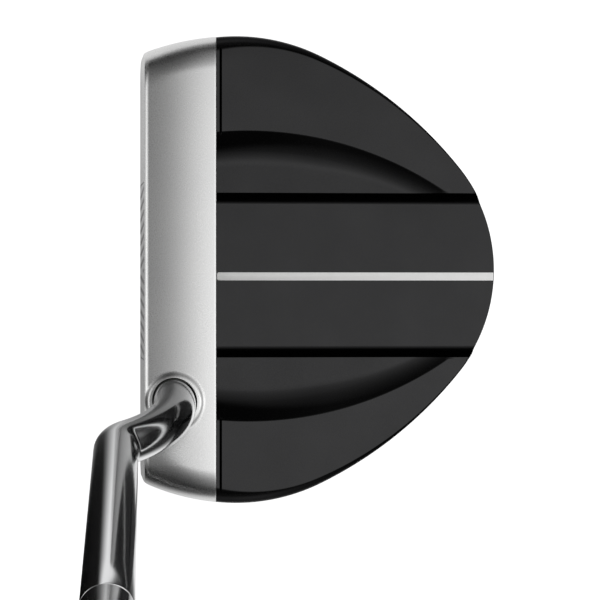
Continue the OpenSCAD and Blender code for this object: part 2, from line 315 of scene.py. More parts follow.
SHOULDER_C, FLANK_C, TAIL_C, FIRST_TURN, SECOND_TURN = tangent_arcs()


def half_width(x, inset=0.0):
    """Half of the rear outline's width at x, with the outline moved inward by inset."""
    join_a = FLANK_C[0] + (FLANK_R - inset) * math.cos(FIRST_TURN)
    join_b = FLANK_C[0] + (FLANK_R - inset) * math.cos(SECOND_TURN)
    if x <= join_a:
        centre, radius = SHOULDER_C, SHOULDER_R - inset
    elif x <= join_b:
        centre, radius = FLANK_C, FLANK_R - inset
    else:
        centre, radius = TAIL_C, TAIL_R - inset
    reach = radius**2 - (x - centre[0]) ** 2
    return max(centre[1] + math.sqrt(reach), 0) if reach > 0 else 0.0


def outline_lean(x):
    """Cosine of the angle between the outline's normal and Y."""
    step = 0.01
    slope = (half_width(x + step) - half_width(x - step)) / (2 * step)
    return 1 / math.sqrt(1 + slope * slope)


def rear_stations():
    """X of the sections through the rear body, close together at the lip and around the tail."""
    lip = [SPLIT_X + d for d in (0, 0.12, 0.4, 0.6, 0.64, 0.66, 0.78, 0.92, 1.06, 1.18, 1.2, 1.24, 1.4)]
    recess = [plate_low[0] - 0.16, plate_low[0] - 0.15]
    middle = list(np.arange(SPLIT_X + 2, TAIL_C[0] + TAIL_R * math.cos(SECOND_TURN), 0.8))
    turns = np.linspace(SECOND_TURN, 0, 40)
    tail = [TAIL_C[0] + TAIL_R * math.cos(t) for t in turns]
    kinks = [SOLE_RISE_X - 0.6, SOLE_RISE_X, SOLE_RISE_X + 0.6, plate_high[0] + 0.1, plate_high[0] + 0.15]
    return sorted(set(round(x, 3) for x in lip + recess + middle + tail + kinks))


# ---------------------------------------------------------------- rear body

def wing_height(x):
    """Height of the flat wings, which slope down to the rear."""
    return WING_FRONT_Z - (WING_FRONT_Z - WING_REAR_Z) * (x - SPLIT_X) / (REAR_X - SPLIT_X)


def rim_width(x):
    """Width of the rolled rim left beside the flat wing, which narrows as the wing slopes down."""
    level = ROLL_R - CROWN_Z + wing_height(x)
    return ROLL_R - math.sqrt(ROLL_R**2 - level**2)


def scoop_edge(x):
    """Distance from the sight line at which the scoop's wall meets the wing."""
    return max(SCOOP_FRONT_Y - SCOOP_R + math.sqrt(SCOOP_R**2 - (x - SCOOP_X) ** 2), CHANNEL_TOP)


def scoop_height(x, a):
    """Height of the scoop at a distance a from the sight line.

    A straight wall slopes down from the wing and then curves into the floor. Where the wing is
    low, the straight part is gone and the curve is shorter.
    """
    rise = max(wing_height(x) - SCOOP_Z, 0.02)
    straight = max(0.85 * (rise - 1.5), 0.0)
    reach = min(2.4 + 1.3 * rise, SCOOP_REACH)
    slope = 2 * rise / (reach + straight)
    inward = SCOOP_R - np.hypot(x - SCOOP_X, a - (SCOOP_FRONT_Y - SCOOP_R))
    curve = slope * np.clip(reach - inward, 0, None) ** 2 / (2 * (reach - straight))
    wall = rise - slope * inward
    outside = SCOOP_OUTSIDE * np.clip(-inward, 0, None)
    return SCOOP_Z + np.where(inward < straight, wall, curve) + outside


def crown_height(x, a, edge, lean, shift):
    """Height of the rear body's top at a distance a from the sight line.

    It is the lowest of three surfaces: the wing with its groove and rolled rim, the scoop, and the channel.
    """
    inward = (edge - a) * lean
    roll = CROWN_Z - arc_drop(inward, ROLL_R)
    flat = wing_height(x) - max(GROOVE_DEPTH - GROOVE_SLOPE * abs(x - GROOVE_X), 0)
    wing = soft_min(flat, np.where(inward < rim_width(x) + 0.6, roll, FAR_ABOVE), 0.12)
    from_channel = a - shift
    slope = (SCOOP_Z - CHANNEL_Z) / (CHANNEL_TOP - CHANNEL_FLOOR)
    slope = np.where(from_channel < CHANNEL_TOP, slope, CHANNEL_OUTSIDE)
    wall = CHANNEL_Z + (from_channel - CHANNEL_FLOOR) * slope
    trough = soft_max(np.full_like(a, CHANNEL_Z), wall, 1.1)
    return soft_min(soft_min(wing, scoop_height(x, a), 0.12), trough, 0.15)


def crown_spacing(x, edge, lean, shift):
    """Distances from the sight line at which the crown is sampled, close together at its creases."""
    brim = scoop_edge(x)
    inner = min(max(brim - 4.5, CHANNEL_TOP + 0.4), brim)
    crease = max(edge - max(rim_width(x) / max(lean, 0.2), 0.2), brim)
    floor = [LINE_HALF, LINE_HALF + 0.001, LINE_HALF + 0.06, 4, 8, 12, 15, 15.6]
    wall = [CHANNEL_FLOOR + v for v in (-0.9, -0.75, -0.6, -0.45, -0.3, -0.2, -0.1, 0.05, 0.2, 0.4, 0.8)]
    wall += [CHANNEL_TOP + v for v in (-0.5, -0.2, -0.08, -0.02, 0.04, 0.1, 0.3)]
    a = floor + [v + shift for v in wall]
    a += list(np.linspace(CHANNEL_TOP + 0.4 + shift, inner, 9)[1:])
    a += list(np.linspace(inner, brim - 0.3, 15)[1:])
    a += [brim + v for v in (-0.2, -0.12, -0.05, 0, 0.05, 0.12, 0.2, 0.4)]
    a += list(np.linspace(brim + 0.4, crease - 0.25, 9)[1:])
    a += [crease + v for v in (-0.12, -0.06, 0, 0.06, 0.12)]
    a += [crease + 0.12 + (edge - crease - 0.12) * math.sin(t) for t in np.linspace(0, math.pi / 2, 14)[1:]]
    return np.minimum(np.maximum.accumulate(np.array(a)), edge)


def rear_section(x, side):
    """Points from the sight line outward over the crown, down the side and back under the sole."""
    edge = side * TOE_SHIFT + half_width(x)
    lean = outline_lean(x) if 0 < half_width(x) and x < REAR_X - 0.02 else 0.1
    shift = side * CHANNEL_Y
    a = crown_spacing(x, edge, lean, shift)
    z = crown_height(x, a, edge, lean, shift)
    if x > LINE_START:
        z[0] = min(z[0], CHANNEL_Z - LINE_DEPTH)
    crown = [(0.0, z[0])] + list(zip(a, z))
    side_top = z[-1]
    skirt = [(edge, side_top - (side_top - SKIRT_Z[0]) * t) for t in (0.15, 0.5, 0.85)]
    skirt += [(max(edge - inset / max(lean, 0.3), 0), min(height, side_top))
              for inset, height in zip(SKIRT_INSET, SKIRT_Z)]
    rise = float(soft_max(np.array(SOLE_RISE * (x - SOLE_RISE_X)), np.array(0.0), 0.7))
    skirt = [(p, max(q, rise)) for p, q in skirt]
    over_plate = plate_low[0] - 0.155 < x < plate_high[0] + 0.13
    recess = side * TOE_SHIFT + half_width(x, PLATE_INSET) if over_plate else 0
    lid = PLATE_RECESS if recess > abs(TOE_SHIFT) else max(rise, 0)
    recess = min(recess, skirt[-1][0])
    sole = [(recess, max(rise, 0)), (recess, lid), (0.0, lid)]
    return [(x, side * p, q) for p, q in crown + skirt + sole]


def build_rear_body():
    rings = []
    for x in rear_stations():
        toe, heel = rear_section(x, 1), rear_section(x, -1)
        rings.append(toe + heel[-2:0:-1])
    verts, faces = rings_to_mesh(rings)
    return new_piece("rear_shell", verts, faces, "black_anodised", "rear_body", sharp=38)


# ---------------------------------------------------------------- front block

def end_radius(y):
    """The block's toe end is squarer than its heel end."""
    return TOE_END_R if y > 0 else HEEL_END_R


def block_end_x(y):
    """X of the block's rounded end at a distance y from the outline's centre line."""
    radius = end_radius(y)
    reach = radius**2 - (abs(y) - (HALF_W - radius)) ** 2
    return WIDE_X - math.sqrt(max(reach, 0))


def inside_end(x, y):
    """How far a point is inside the block's rounded end."""
    radius = end_radius(y)
    return radius - np.hypot(x - WIDE_X, abs(y) - (HALF_W - radius))


def face_x(z):
    """X of the flat face, which leans back by the loft, at a height z."""
    return LEAD_X + (z - FACE_FOOT_Z) * math.tan(LOFT)


def block_front_x(y, z):
    """X of the block's front: the flat face, rounded into the ends."""
    return float(soft_max(np.array(face_x(z)), np.array(block_end_x(y)), 1.6))


def block_top(x, y, front):
    """Height of the block's crown; y is measured from the outline's centre line."""
    crown = CROWN_Z - CAMBER_R + np.sqrt(CAMBER_R**2 - (x - SPLIT_X) ** 2)
    roll = crown - arc_drop(inside_end(x, y), ROLL_R)
    nose = NOSE_DROP * np.clip(1 - (x - front) / NOSE_W, 0, 1) ** 2
    back = arc_drop(SPLIT_X - x, BACK_R)
    socket_y = SHAFT_Y - CROWN_Z * math.tan(LEAN) - TOE_SHIFT
    from_socket = np.hypot(x - (SHAFT_X + NECK_OFFSET), y - socket_y)
    lift = np.clip((COLLAR_R - from_socket) / COLLAR_W, 0, 1)
    collar = COLLAR_LIFT * lift * lift * (3 - 2 * lift)
    return roll - nose - back + collar


def block_base(x, y):
    """Height of the block's underside, with its bevels to the face and to the ends."""
    side = np.interp(inside_end(x, y), SKIRT_INSET, SKIRT_Z)
    front = np.clip(FACE_FOOT_Z - (x - LEAD_X) * LEAD_BEVEL, 0, None)
    return soft_max(side, front, 0.5)


def block_section(y):
    """Closed section at a distance y from the outline's centre line."""
    front = block_front_x(y, NOSE_Z)
    width = SPLIT_X - front
    nose = [NOSE_W * t for t in np.linspace(0, 1, 15)]
    back = [width - BACK_R * (1 - math.cos(t)) for t in np.linspace(math.pi / 2, 0, 5)]
    body = list(np.linspace(NOSE_W, width - BACK_R, 64)[1:-1]) if width > 1.5 else [width / 2] * 62
    reach = np.clip(nose + body + back, 0, width)
    x = front + np.maximum.accumulate(reach)
    z = block_top(x, y, front)
    points = list(zip(x, z))
    base_x = np.linspace(SPLIT_X, front, 30)
    base_z = np.minimum(block_base(base_x, y), z[0])
    points += [(SPLIT_X, z[-1] + (base_z[0] - z[-1]) * t) for t in (0.25, 0.5, 0.75)]
    points += [(max(bx, block_front_x(y, bz)), bz) for bx, bz in zip(base_x, base_z)]
    low, high = base_z[-1], z[0]
    points += [(block_front_x(y, low + (high - low) * t), low + (high - low) * t)
               for t in np.linspace(0, 1, 10)[1:-1]]
    return [(px, y + TOE_SHIFT, pz) for px, pz in points]


def block_stations():
    """Distances from the outline's centre line, close together at the ends and the socket."""
    toe, heel = (HALF_W - r + math.sqrt(r**2 - (SPLIT_X - WIDE_X) ** 2)
                 for r in (TOE_END_R, HEEL_END_R))
    inset = [9 * (1 - math.cos(t)) for t in np.linspace(0.02, math.pi / 2, 34)]
    socket = SOCKET_AT[1] - TOE_SHIFT
    near = list(np.arange(socket - 8.2, socket + 8.2, 0.25))
    flat = [v for v in np.arange(-heel + 9, toe - 9, 1.2) if abs(v - socket) > 8.4]
    ends = [toe - v for v in inset] + [v - heel for v in inset]
    return sorted(set(round(v, 3) for v in ends + near + flat))


def rod_between(start, end, radius, sides):
    """Closed cylinder between two points, in millimetres."""
    axis = (end - start) / np.linalg.norm(end - start)
    side = np.cross(axis, [1, 0, 0] if abs(axis[0]) < 0.9 else [0, 1, 0])
    side /= np.linalg.norm(side)
    other = np.cross(axis, side)
    return rings_to_mesh([[p + radius * (math.cos(t) * side + math.sin(t) * other)
                           for t in full_turn(sides)] for p in (start, end)])


def block_cutter():
    """Socket, face pocket and the two weight holes as closed volumes."""
    parts = [rod_between(SOCKET_AT - SOCKET_DEPTH * UP_SHAFT, SOCKET_AT + 8 * UP_SHAFT, SOCKET_R, 96)]
    weight_x, weight_y = (weight_low[:2] + weight_high[:2]) / 2
    for y in (weight_y, 2 * TOE_SHIFT - weight_y):
        foot, top = np.array([weight_x, y, -2]), np.array([weight_x, y, WEIGHT_HOLE_TOP])
        parts.append(rod_between(foot, top, WEIGHT_HOLE_R, 64))
    gap, ahead = 0.1, 3
    low, high = insert_low - gap, insert_high + gap
    across, up = np.array([0, high[1] - low[1], 0]), (high[2] - low[2]) * UP_FACE
    corner = np.array([face_x(low[2]), low[1], low[2]])
    parts.append(rings_to_mesh([[corner + depth * INTO_FACE + u * across + v * up
                                 for u, v in ((0, 0), (1, 0), (1, 1), (0, 1))]
                                for depth in (-ahead, POCKET_DEPTH)]))
    verts, faces = [], []
    for part_verts, part_faces in parts:
        faces += [tuple(i + len(verts) for i in face) for face in part_faces]
        verts += part_verts
    bm = mesh_from(verts, faces)
    bmesh.ops.recalc_face_normals(bm, faces=bm.faces[:])
    return finish_mesh("cutter", bm, 30)


def build_front_block():
    verts, faces = rings_to_mesh([block_section(y) for y in block_stations()])
    piece = new_piece("face_block", verts, faces, "satin_steel", "front_block", sharp=38)
    cut(piece, block_cutter(), 38)
    return piece


# ---------------------------------------------------------------- face insert and sight line

def build_face_insert():
    """Plate with milled grooves that fan out towards its top."""
    rows, columns = 60, 240
    wide, tall = insert_high[1] - insert_low[1], (insert_high[2] - insert_low[2]) / math.cos(LOFT)
    corner = np.array([face_x(insert_low[2]), insert_low[1], insert_low[2]])
    verts, faces = [], []
    for i in range(rows + 1):
        for j in range(columns + 1):
            u, v = wide * j / columns, tall * i / rows
            z = insert_low[2] + v * math.cos(LOFT)
            phase = (abs(u - wide / 2) - MILLED_LEAN * z) / MILLED_PITCH % 1
            depth = MILLED_DEPTH * math.sin(math.pi * min(phase / MILLED_SHARE, 1)) ** 0.6
            rim = min(u, v, wide - u, tall - v)
            depth = depth * min(max((rim - 0.5) / 0.4, 0), 1) + float(arc_drop(np.array(rim), 0.2)) * 0.6
            verts.append(corner + (0.02 + depth) * INTO_FACE + np.array([0, u, 0]) + v * UP_FACE)
    count = len(verts)
    verts += [corner + INSERT_DEPTH * INTO_FACE + np.array([0, wide * j, 0]) + tall * i * UP_FACE
              for i, j in ((0, 0), (0, 1), (1, 1), (1, 0))]
    for i in range(rows):
        for j in range(columns):
            k = i * (columns + 1) + j
            faces.append((k, k + 1, k + columns + 2, k + columns + 1))
    low = list(range(columns + 1))
    high = [rows * (columns + 1) + j for j in low]
    left = [i * (columns + 1) for i in range(rows + 1)]
    right = [v + columns for v in left]
    faces += [tuple(low[::-1]) + (count, count + 1), tuple(high) + (count + 2, count + 3)]
    faces += [tuple(left) + (count + 3, count), tuple(right[::-1]) + (count + 1, count + 2)]
    faces.append((count, count + 3, count + 2, count + 1))
    return new_piece("milled_insert", verts, faces, "milled_steel", "face_insert", sharp=50)


def build_sight_line():
    """Thin strip in its groove, with rounded corners at its front end."""
    low, high = cad_box_mm("sight_line")
    half, corner = LINE_HALF - 0.01, 0.45
    heel_corner, toe_corner = [
        [(low[0] + corner + corner * math.cos(t), side * (half - corner) + corner * math.sin(t))
         for t in np.linspace(start, start + math.pi / 2, 8)]
        for side, start in ((-1, math.pi), (1, math.pi / 2))]
    rear = [(TAIL_C[0] + math.sqrt((TAIL_R - 0.12) ** 2 - (y - TOE_SHIFT) ** 2), y)
            for y in np.linspace(-half, half, 7)]
    outline = heel_corner + rear + toe_corner
    middle = (low[0] + high[0]) / 2
    levels = [(0, CHANNEL_Z - LINE_DEPTH - 0.01), (0, CHANNEL_Z - 0.03), (0.03, CHANNEL_Z)]
    verts, faces = rings_to_mesh([[(x + np.sign(middle - x) * trim, y * (1 - trim), z) for x, y in outline]
                                  for trim, z in levels])
    return new_piece("paint_line", verts, faces, "white_paint", "sight_line", sharp=40)


# ---------------------------------------------------------------- hosel, shaft and grip

def build_hosel():
    """Tube swept from the socket through the two bends to the top, with the post inside the shaft."""
    bend = math.acos(1 - NECK_OFFSET / (BEND_LOW_R + BEND_HIGH_R))
    start = CROWN_W + 1.7
    middle = start + BEND_LOW_R * math.sin(bend)
    end = middle + BEND_HIGH_R * math.sin(bend)
    path = [(NECK_OFFSET, CROWN_W - TENON_LEN, 0, TENON_R), (NECK_OFFSET, CROWN_W - 2, 0, TENON_R),
            (NECK_OFFSET, CROWN_W - 1.9, 0, TUBE_R)]
    for a in np.linspace(0, bend, 30):
        x, w = NECK_OFFSET - BEND_LOW_R * (1 - math.cos(a)), start + BEND_LOW_R * math.sin(a)
        path.append((x, w, a, TUBE_R))
    for a in np.linspace(bend, 0, 24)[1:]:
        path.append((BEND_HIGH_R * (1 - math.cos(a)), end - BEND_HIGH_R * math.sin(a), a, TUBE_R))
    path += [(0, end + (HOSEL_TOP - 0.2 - end) * t, 0, TUBE_R + (TIP_R - TUBE_R) * t)
             for t in np.linspace(0, 0.998, 8)[1:]]
    path += [(0, HOSEL_TOP - 0.08, 0, TIP_R - 0.05), (0, HOSEL_TOP, 0, TIP_R - 0.16)]
    path += [(0, HOSEL_TOP, 0, POST_R), (0, POST_TOP, 0, POST_R)]
    rings = []
    for x, w, tilt, r in path:
        out = [(r * math.cos(t), r * math.sin(t)) for t in full_turn(72)]
        rings.append([shaft_point(x + u * math.cos(tilt), v, w + u * math.sin(tilt)) for u, v in out])
    verts, faces = rings_to_mesh(rings)
    return new_piece("crank_neck", verts, faces, "polished_chrome", "hosel", sharp=40)


def build_shaft():
    """Stepped tube, open at both ends."""
    profile = [(SHAFT_BORE_R, HOSEL_TOP + 0.1), (TIP_R - 0.16, HOSEL_TOP + 0.1),
               (TIP_R - 0.05, HOSEL_TOP + 0.18), (TIP_R, HOSEL_TOP + 0.3), (TIP_R, 200), (TIP_R, 270)]
    for step in range(STEP_COUNT):
        w, r = STEP_START_W + step * STEP_PITCH, TIP_R + step * STEP_GAIN
        for part in (0, 0.15, 0.5, 0.85, 1):
            profile.append((r + STEP_GAIN * (3 * part**2 - 2 * part**3), w + STEP_LEN * part))
    butt = TIP_R + STEP_COUNT * STEP_GAIN
    profile += [(butt, CLUB_LEN - 100), (butt, BUTT_W), (butt - SHAFT_WALL, BUTT_W)]
    profile += [(butt - SHAFT_WALL, STEP_START_W + STEP_COUNT * STEP_PITCH), (SHAFT_BORE_R, STEP_START_W)]
    verts, faces = turned(profile, 64)
    return new_piece("stepped_shaft", verts, faces, "polished_chrome", "shaft", sharp=40)


def grip_ring(w, width, back):
    """Section of the grip: a flat front with soft corners, and a round back."""
    flat = math.sin(math.radians(60)) * width / 2
    ring = []
    for t in full_turn(GRIP_SIDES):
        y = math.sin(t)
        if y > 0:
            y = float(soft_min(np.array(width / 2 * y), np.array(flat), 0.8))
        else:
            y *= width / 2 + back
        ring.append(shaft_point(width / 2 * math.cos(t), y, w))
    return ring


def build_grip():
    """Rubber grip that widens towards the butt, with rounded ends and a groove near its mouth."""
    low, top = CLUB_LEN - GRIP_LEN, CLUB_LEN - CAP_H
    length = top - low
    stations = [0, 0.3, 0.9, 1.8, 3.2, 3.6, 4.0, 4.6] + list(np.linspace(6, length - 2, 150))
    stations += [length - 1.2, length - 0.5, length - 0.1, length]
    rings = []
    for d in stations:
        width = np.interp(d, [0, 150, 215, 265], [GRIP_LOW_W, GRIP_TOP_W - 2.5, GRIP_TOP_W, GRIP_TOP_W])
        back = np.interp(d, [0, 150, 215, 264], [0, 1.0, 4.9, 2.0])
        trim = arc_drop(d, 0.9) + arc_drop(length - d, 0.9)
        groove = 0.35 * math.exp(-((d - 3.7) / 0.35) ** 2)
        rings.append(grip_ring(low + d, width - 0.1 - 2 * trim - 2 * groove, back))
    rings += [shaft_circle(GRIP_BORE_R, w, GRIP_SIDES) for w in (top, low)]
    verts, faces = rings_to_mesh(rings, loop=True)
    return new_piece("flat_front_grip", verts, faces, "grip_rubber", "grip", sharp=40)


def build_grip_cap():
    """Domed cap with a vent hole and a plug inside the shaft."""
    radius = GRIP_TOP_W * 0.46
    low, top = CLUB_LEN - CAP_H, CLUB_LEN
    profile = [(VENT_R, BUTT_W), (PLUG_R, BUTT_W), (PLUG_R, low), (radius, low)]
    profile += [(radius - 1.6 * (1 - math.cos(t)), low + 0.5 + 1.9 * math.sin(t))
                for t in np.linspace(0, math.pi / 2, 8)[1:]]
    profile += [(radius * 0.6, top - 0.02), (4.2, top), (4.0, top - 0.35)]
    profile += [(2.4, top - 0.4), (VENT_R, top - 0.7)]
    verts, faces = turned(profile, 80)
    return new_piece("vented_cap", verts, faces, "cap_rubber", "grip_cap", sharp=35)


# ---------------------------------------------------------------- materials

def add(tree, kind, **values):
    """A node with some of its inputs set by name; an underscore stands for a space."""
    node = tree.nodes.new(kind)
    for name, value in values.items():
        node.inputs[name.replace("_", " ")].default_value = value
    return node


def maths(tree, operation, *values):
    """A sum on sockets and numbers."""
    node = tree.nodes.new("ShaderNodeMath")
    node.operation = operation
    for slot, value in zip(node.inputs, values):
        if isinstance(value, (int, float)):
            slot.default_value = value
        else:
            tree.links.new(value, slot)
    return node.outputs[0]


def empty_tree(holder):
    """The cleared node tree of a material or world."""
    holder.use_nodes = True
    holder.node_tree.nodes.clear()
    return holder.node_tree


def start_material(name):
    material = bpy.data.materials.new(name)
    tree = empty_tree(material)
    shader = tree.nodes.new("ShaderNodeBsdfPrincipled")
    output = tree.nodes.new("ShaderNodeOutputMaterial")
    tree.links.new(shader.outputs["BSDF"], output.inputs["Surface"])
    return material, tree, shader


def ramp(tree, source, stops):
    """Colours or grey levels along a socket that runs from 0 to 1."""
    node = tree.nodes.new("ShaderNodeValToRGB")
    node.color_ramp.elements[0].position = stops[0][0]
    node.color_ramp.elements[1].position = stops[-1][0]
    for position, _ in stops[1:-1]:
        node.color_ramp.elements.new(position)
    for element, (_, level) in zip(node.color_ramp.elements, stops):
        colour = level if isinstance(level, tuple) else (level, level, level)
        element.color = (*colour, 1)
    tree.links.new(source, node.inputs["Fac"])
    return node.outputs["Color"]


def noise(tree, scale, detail, stretch=(1, 1, 1)):
    """Noise over the piece's own coordinates, in cells per metre."""
    place = tree.nodes.new("ShaderNodeTexCoord")
    mapping = tree.nodes.new("ShaderNodeMapping")
    mapping.inputs["Scale"].default_value = stretch
    tree.links.new(place.outputs["Object"], mapping.inputs["Vector"])
    node = add(tree, "ShaderNodeTexNoise", Scale=scale, Detail=detail)
    tree.links.new(mapping.outputs["Vector"], node.inputs["Vector"])
    return node.outputs["Fac"]


def axes_of(tree, kind, output):
    """X, Y and Z of a node's vector output."""
    axes = tree.nodes.new("ShaderNodeSeparateXYZ")
    tree.links.new(tree.nodes.new(kind).outputs[output], axes.inputs[0])
    return axes.outputs


def vary(tree, source, shader, socket, low, high):
    """Runs one of the shader's inputs from low to high with a noise."""
    tree.links.new(ramp(tree, source, [(0.3, low), (0.7, high)]), shader.inputs[socket])


def bump(tree, shader, height, strength, distance):
    """Surface relief from a height socket."""
    node = add(tree, "ShaderNodeBump", Strength=strength, Distance=distance)
    tree.links.new(height, node.inputs["Height"])
    tree.links.new(node.outputs["Normal"], shader.inputs["Normal"])


def metal(name, dark, light, rough, grain_scale, grain, stretch=(1, 1, 1)):
    """Metal with a fine grain in its colour, roughness and surface."""
    material, tree, shader = start_material(name)
    shader.inputs["Metallic"].default_value = 1.0
    vary(tree, noise(tree, 60, 3), shader, "Base Color", dark, light)
    fine = noise(tree, grain_scale, 2, stretch)
    vary(tree, fine, shader, "Roughness", *rough)
    bump(tree, shader, fine, grain, 0.00002)
    return material


def satin_steel():
    return metal("satin_steel", (0.66, 0.66, 0.66), (0.69, 0.69, 0.685), (0.26, 0.31), 5000, 0.05)


def milled_steel():
    """Steel with painted shade in its grooves: the base colour is darkened in step with the grooves of the
    insert's mesh.
    """
    material = metal("milled_steel", (0.6, 0.6, 0.61), (0.66, 0.66, 0.66), (0.24, 0.34), 3000, 0.2,
                     stretch=(1, 0.1, 1))
    tree = material.node_tree
    shader = next(node for node in tree.nodes if node.type == "BSDF_PRINCIPLED")
    _, y, z = axes_of(tree, "ShaderNodeTexCoord", "Object")
    middle = (insert_low[1] + insert_high[1]) / 2 * MM
    across = maths(tree, "ABSOLUTE", maths(tree, "SUBTRACT", y, middle))
    leaning = maths(tree, "MULTIPLY_ADD", z, -MILLED_LEAN, across)
    phase = maths(tree, "FRACT", maths(tree, "DIVIDE", leaning, MILLED_PITCH * MM))
    # painted shade: the base colour falls to 0.12 inside each groove, where shade falls in the recess
    fill = ramp(tree, phase, [(0, 1.0), (0.06, 0.12), (MILLED_SHARE - 0.06, 0.12), (MILLED_SHARE, 1.0),
                              (1, 1.0)])
    mix = tree.nodes.new("ShaderNodeMix")
    mix.data_type = "RGBA"
    mix.blend_type = "MULTIPLY"
    mix.inputs["Factor"].default_value = 1.0
    tree.links.new(shader.inputs["Base Color"].links[0].from_socket, mix.inputs[6])
    tree.links.new(fill, mix.inputs[7])
    tree.links.new(mix.outputs[2], shader.inputs["Base Color"])
    return material


def polished_chrome():
    return metal("polished_chrome", (0.74, 0.745, 0.75), (0.77, 0.775, 0.78), (0.12, 0.15), 2500, 0.03)


def weight_steel():
    return metal("weight_steel", (0.4, 0.4, 0.42), (0.5, 0.5, 0.51), (0.24, 0.36), 2200, 0.2)


def bright_screws():
    return metal("bright_screws", (0.5, 0.5, 0.5), (0.62, 0.62, 0.62), (0.25, 0.35), 2500, 0.15)


def anodised(name, dark, light, rough, grain):
    """Dyed anodised aluminium: a dark, fine-grained satin skin without a bright edge."""
    material, tree, shader = start_material(name)
    vary(tree, noise(tree, 90, 4), shader, "Base Color", dark, light)
    fine = noise(tree, 4500, 2)
    vary(tree, fine, shader, "Roughness", *rough)
    shader.inputs["Metallic"].default_value = 1.0
    shader.inputs["Specular Tint"].default_value = (0.4, 0.4, 0.4, 1)
    bump(tree, shader, fine, grain, 0.00003)
    return material


def black_anodised():
    return anodised("black_anodised", (0.0265, 0.0265, 0.027), (0.0295, 0.0295, 0.03), (0.22, 0.28), 0.25)


def plate_anodised():
    return anodised("plate_anodised", (0.06, 0.06, 0.064), (0.075, 0.075, 0.08), (0.42, 0.52), 0.5)


def dull(name, dark, light, rough, scale, grain):
    """Rubber, nylon, paint, resin or tape."""
    material, tree, shader = start_material(name)
    cloud = noise(tree, scale, 4)
    vary(tree, cloud, shader, "Base Color", dark, light)
    vary(tree, cloud, shader, "Roughness", *rough)
    shader.inputs["Specular IOR Level"].default_value = 0.4
    bump(tree, shader, noise(tree, scale * 8, 2), grain, 0.00004)
    return material


def white_paint():
    return dull("white_paint", (0.83, 0.83, 0.82), (0.87, 0.87, 0.86), (0.3, 0.36), 300, 0.15)


def grip_rubber():
    """Rubber with a fine pattern of dimples."""
    material, tree, shader = start_material("grip_rubber")
    cloud = noise(tree, 80, 4)
    vary(tree, cloud, shader, "Base Color", 0.018, 0.028)
    vary(tree, cloud, shader, "Roughness", 0.5, 0.66)
    cells = add(tree, "ShaderNodeTexVoronoi", Scale=520.0, Randomness=0.25)
    place = tree.nodes.new("ShaderNodeTexCoord")
    tree.links.new(place.outputs["Object"], cells.inputs["Vector"])
    pits = ramp(tree, cells.outputs["Distance"], [(0.1, 0.0), (0.42, 1.0)])
    bump(tree, shader, pits, 0.7, 0.0002)
    return material


def make_materials():
    return {
        "satin_steel": satin_steel(),
        "milled_steel": milled_steel(),
        "polished_chrome": polished_chrome(),
        "weight_steel": weight_steel(),
        "bright_screws": bright_screws(),
        "black_anodised": black_anodised(),
        "plate_anodised": plate_anodised(),
        "white_paint": white_paint(),
        "grip_rubber": grip_rubber(),
        "cap_rubber": dull("cap_rubber", 0.02, 0.03, (0.55, 0.65), 200, 0.3),
        "black_rubber": dull("black_rubber", 0.02, 0.03, (0.6, 0.75), 300, 0.4),
        "black_nylon": dull("black_nylon", 0.03, 0.04, (0.45, 0.55), 300, 0.3),
        "epoxy": dull("epoxy", (0.01, 0.01, 0.009), (0.018, 0.018, 0.016), (0.3, 0.4), 200, 0.3),
        "tape": dull("tape", (0.66, 0.58, 0.42), (0.74, 0.66, 0.5), (0.7, 0.85), 400, 0.5),
    }


# ---------------------------------------------------------------- floor, light and camera

def gradient(tree, value, low, high, stops):
    """Levels along a value that runs from low to high."""
    spread = tree.nodes.new("ShaderNodeMapRange")
    spread.inputs["From Min"].default_value = low
    spread.inputs["From Max"].default_value = high
    tree.links.new(value, spread.inputs["Value"])
    return ramp(tree, spread.outputs["Result"], [((s - low) / (high - low), level) for s, level in stops])


def by_ray(tree, ray, other, seen):
    """One shader for one kind of ray, and another for all others."""
    mix = tree.nodes.new("ShaderNodeMixShader")
    tree.links.new(tree.nodes.new("ShaderNodeLightPath").outputs[ray], mix.inputs["Fac"])
    tree.links.new(other, mix.inputs[1])
    tree.links.new(seen, mix.inputs[2])
    return mix.outputs[0]


